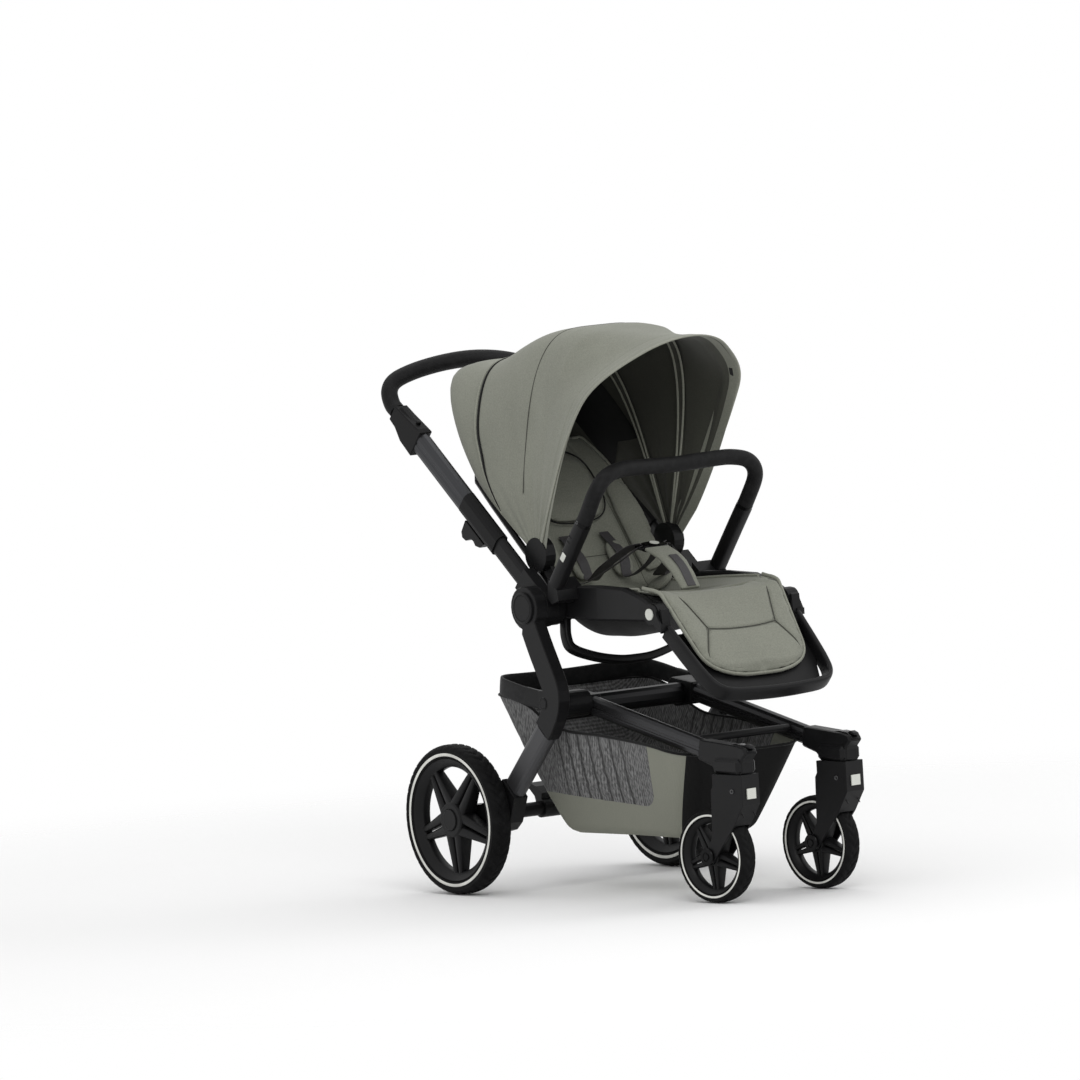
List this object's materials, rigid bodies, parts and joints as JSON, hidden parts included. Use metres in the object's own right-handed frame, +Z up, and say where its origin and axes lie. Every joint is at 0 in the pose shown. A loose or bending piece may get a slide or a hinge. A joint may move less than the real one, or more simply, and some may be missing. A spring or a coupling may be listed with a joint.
{
  "type": "stroller",
  "caption": "Compact baby stroller with a folding frame, swivel front wheels, telescopic handle, reclining padded seat, bumper bar, folding canopy and mesh basket.",
  "frame": {"origin": "on the floor, under the middle of the whole stroller's box", "axes": "+X to the child's left, +Y to the rear where the handle is, +Z up; the child faces -Y"},
  "size_m": [0.5314, 0.9737, 1.03],
  "materials": {
    "satin_black": "satin black moulded plastic",
    "dark_metal": "dark grey anodised tube, satin",
    "tyre": "matte black tread with an off-white ring on the side wall",
    "leather": "black leather-look wrap with a stitched seam",
    "sage": "grey-green woven cloth, matte",
    "sling": "black cloth sling",
    "mesh": "mid-grey heather mesh with a grey-green lower panel",
    "pale": "pale grey-white plastic"
  },
  "bodies": {
    "front_frame": {"front_tube_right": "dark_metal", "front_tube_left": "dark_metal", "cross_tube": "dark_metal", "slim_crossbar": "dark_metal", "knee_fitting_right": "satin_black", "knee_fitting_left": "satin_black", "caster_socket_right": "satin_black", "caster_socket_left": "satin_black", "basket_hoop": "satin_black", "basket": "mesh"},
    "legs": {"leg_right": "satin_black", "leg_left": "satin_black", "leg_tube_right": "dark_metal", "leg_tube_left": "dark_metal", "rear_foot_right": "satin_black", "rear_foot_left": "satin_black", "rear_axle": "dark_metal"},
    "brake": {"brake_pedal": "satin_black"},
    "push_frame": {"push_tube_right": "satin_black", "push_tube_left": "satin_black"},
    "handlebar": {"handle_tube_right": "dark_metal", "handle_tube_left": "dark_metal", "handle_grip": "leather"},
    "seat_mounts": {"seat_mount_right": "satin_black", "seat_mount_left": "satin_black"},
    "seat": {"seat_frame": "satin_black", "seat_shell": "sling", "seat_liner": "sage", "canopy_rear": "sage", "buckle": "satin_black"},
    "buckle_release": {"buckle_button": "pale"},
    "footrest": {"footrest_frame": "satin_black", "calf_pad": "sage"},
    "bumper": {"bumper_bar": "leather"},
    "canopy_front_bow": {"canopy_bow_front": "satin_black", "canopy_front": "sage"},
    "canopy_middle_bow": {"canopy_bow_middle": "satin_black", "canopy_middle": "sage"},
    "rear_wheel_right": {"rear_tyre_right": "tyre", "rear_rim_right": "satin_black", "rear_wheel_cap_right": "satin_black"},
    "caster_right": {"caster_fork_right": "satin_black", "reflector_right": "pale", "front_axle_right": "dark_metal"},
    "front_wheel_right": {"front_tyre_right": "tyre", "front_rim_right": "satin_black"},
    "trigger_right": {"fold_trigger_right": "satin_black"},
    "footrest_release_right": {"footrest_button_right": "pale"},
    "bumper_release_right": {"bumper_button_right": "pale"},
    "rear_wheel_left": {"rear_tyre_left": "tyre", "rear_rim_left": "satin_black", "rear_wheel_cap_left": "satin_black"},
    "caster_left": {"caster_fork_left": "satin_black", "reflector_left": "pale", "front_axle_left": "dark_metal"},
    "front_wheel_left": {"front_tyre_left": "tyre", "front_rim_left": "satin_black"},
    "trigger_left": {"fold_trigger_left": "satin_black"},
    "footrest_release_left": {"footrest_button_left": "pale"},
    "bumper_release_left": {"bumper_button_left": "pale"}
  },
  "joints": [
    {"name": "chassis_fold", "type": "hinge", "parent": "front_frame", "child": "legs", "pos_m": [0, -0.0194, 0.351], "axis": [-1, 0, 0], "range_deg": [0, 30]},
    {"name": "push_fold", "type": "hinge", "parent": "legs", "child": "push_frame", "pos_m": [0, 0.0386, 0.529], "axis": [1, 0, 0], "range_deg": [0, 55]},
    {"name": "seat_level", "type": "hinge", "parent": "legs", "child": "seat_mounts", "pos_m": [0, 0.0386, 0.529], "axis": [1, 0, 0], "range_deg": [0, 30]},
    {"name": "seat_recline", "type": "hinge", "parent": "seat_mounts", "child": "seat", "pos_m": [0, 0.0386, 0.529], "axis": [1, 0, 0], "range_deg": [-20, 0]},
    {"name": "handle_slide", "type": "slide", "parent": "push_frame", "child": "handlebar", "axis": [0, 0.7683, 0.6401], "range_m": [0, 0.15]},
    {"name": "brake_press", "type": "hinge", "parent": "legs", "child": "brake", "pos_m": [0, 0.2386, 0.138], "axis": [-1, 0, 0], "range_deg": [0, 20]},
    {"name": "footrest_lift", "type": "hinge", "parent": "seat", "child": "footrest", "pos_m": [0, -0.2694, 0.522], "axis": [-1, 0, 0], "range_deg": [0, 45]},
    {"name": "bumper_lift", "type": "slide", "parent": "seat", "child": "bumper", "axis": [0, -0.6214, 0.7835], "range_m": [0, 0.03]},
    {"name": "canopy_fold", "type": "hinge", "parent": "seat", "child": "canopy_front_bow", "pos_m": [0, 0.0686, 0.62], "axis": [-1, 0, 0], "range_deg": [0, 32], "deforming": ["canopy_front"]},
    {"name": "canopy_middle_fold", "type": "hinge", "parent": "seat", "child": "canopy_middle_bow", "pos_m": [0, 0.0686, 0.62], "axis": [-1, 0, 0], "range_deg": [0, 25], "deforming": ["canopy_middle"]},
    {"name": "buckle_press", "type": "slide", "parent": "seat", "child": "buckle_release", "axis": [0, 0.2425, -0.9701], "range_m": [0, 0.0015], "stiffness_N_per_m": 400, "springref_m": -0.001},
    {"name": "rear_wheel_spin_right", "type": "hinge", "parent": "legs", "child": "rear_wheel_right", "pos_m": [-0.244, 0.2386, 0.138], "axis": [1, 0, 0], "continuous": true},
    {"name": "caster_swivel_right", "type": "hinge", "parent": "front_frame", "child": "caster_right", "pos_m": [-0.12, -0.4284, 0.235], "axis": [0, 0, 1], "continuous": true},
    {"name": "front_wheel_spin_right", "type": "hinge", "parent": "caster_right", "child": "front_wheel_right", "pos_m": [-0.12646, -0.3758, 0.085], "axis": [0.9925, 0.1219, 0], "continuous": true},
    {"name": "fold_trigger_pull_right", "type": "slide", "parent": "handlebar", "child": "trigger_right", "axis": [0, 0.7683, 0.6401], "range_m": [0, 0.012], "stiffness_N_per_m": 300, "springref_m": -0.01},
    {"name": "footrest_press_right", "type": "slide", "parent": "footrest", "child": "footrest_release_right", "axis": [1, 0, 0], "range_m": [0, 0.002], "stiffness_N_per_m": 400, "springref_m": -0.001},
    {"name": "bumper_press_right", "type": "slide", "parent": "bumper", "child": "bumper_release_right", "axis": [1, 0, 0], "range_m": [0, 0.002], "stiffness_N_per_m": 400, "springref_m": -0.001},
    {"name": "rear_wheel_spin_left", "type": "hinge", "parent": "legs", "child": "rear_wheel_left", "pos_m": [0.244, 0.2386, 0.138], "axis": [1, 0, 0], "continuous": true},
    {"name": "caster_swivel_left", "type": "hinge", "parent": "front_frame", "child": "caster_left", "pos_m": [0.12, -0.4284, 0.235], "axis": [0, 0, 1], "continuous": true},
    {"name": "front_wheel_spin_left", "type": "hinge", "parent": "caster_left", "child": "front_wheel_left", "pos_m": [0.11354, -0.3758, 0.085], "axis": [0.9925, 0.1219, 0], "continuous": true},
    {"name": "fold_trigger_pull_left", "type": "slide", "parent": "handlebar", "child": "trigger_left", "axis": [0, 0.7683, 0.6401], "range_m": [0, 0.012], "stiffness_N_per_m": 300, "springref_m": -0.01},
    {"name": "footrest_press_left", "type": "slide", "parent": "footrest", "child": "footrest_release_left", "axis": [-1, 0, 0], "range_m": [0, 0.002], "stiffness_N_per_m": 400, "springref_m": -0.001},
    {"name": "bumper_press_left", "type": "slide", "parent": "bumper", "child": "bumper_release_left", "axis": [-1, 0, 0], "range_m": [0, 0.002], "stiffness_N_per_m": 400, "springref_m": -0.001}
  ],
  "couplings": [
    {"joint": "push_fold", "follows": "chassis_fold", "ratio": 1.8333},
    {"joint": "seat_level", "follows": "chassis_fold", "ratio": 1},
    {"joint": "canopy_middle_fold", "follows": "canopy_fold", "ratio": 0.78}
  ]
}
